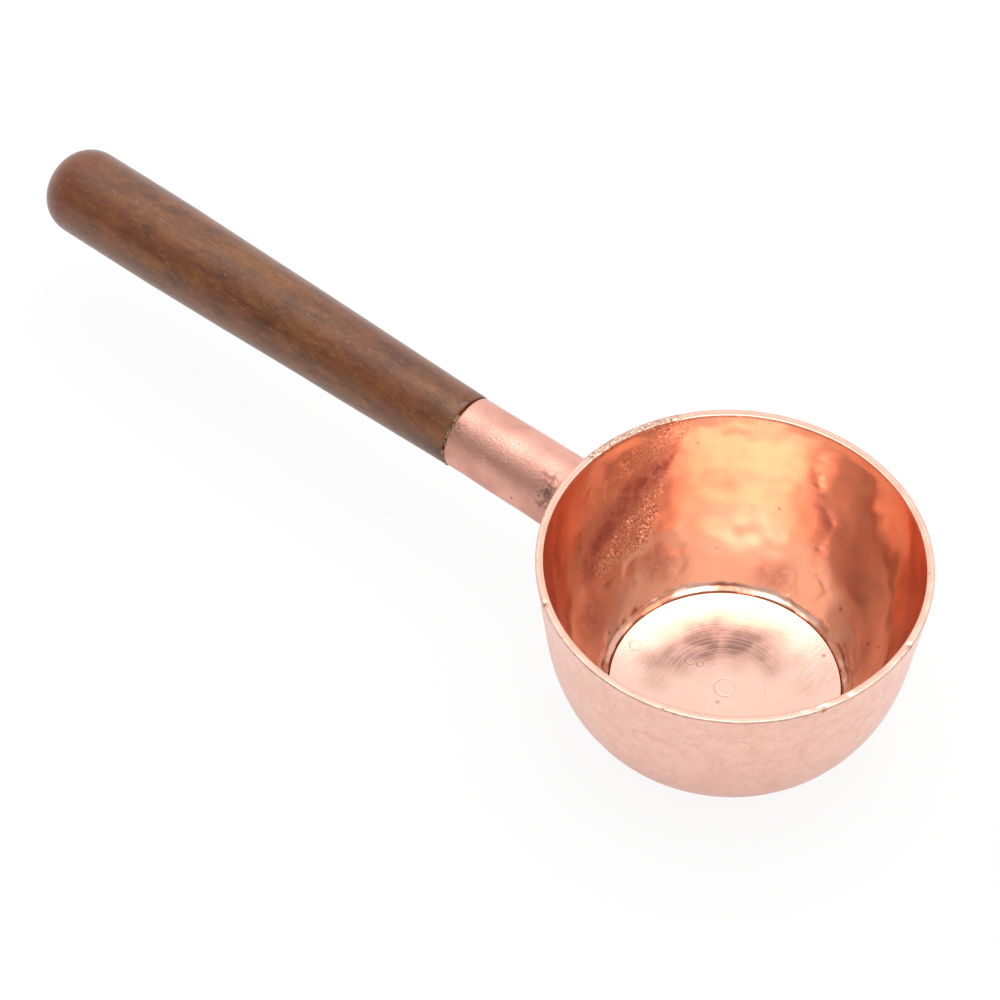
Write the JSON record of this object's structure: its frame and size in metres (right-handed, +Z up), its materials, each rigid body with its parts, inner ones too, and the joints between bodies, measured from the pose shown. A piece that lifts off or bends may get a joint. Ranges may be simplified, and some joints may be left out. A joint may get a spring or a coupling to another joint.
{
  "type": "coffee scoop",
  "caption": "Rigid coffee scoop: a hammered copper cup with a flat base, a copper ferrule brazed to its side and a straight turned wooden handle glued into the ferrule.",
  "frame": {"origin": "centre of the cup's flat base, on the surface it stands on", "axes": "+Z up along the cup's axis, -X along the handle, +Y across"},
  "size_m": [0.1661, 0.06, 0.032],
  "materials": {
    "hammered_copper": "hammered and polished copper",
    "ferrule_copper": "satin copper",
    "braze": "rough braze",
    "turned_wood": "satin oiled",
    "dried_glue": "matt"
  },
  "bodies": {
    "root": {"cup": "hammered_copper", "ferrule": "ferrule_copper", "braze_fillet": "braze", "handle": "turned_wood", "glue_sleeve": "dried_glue"}
  },
  "joints": []
}
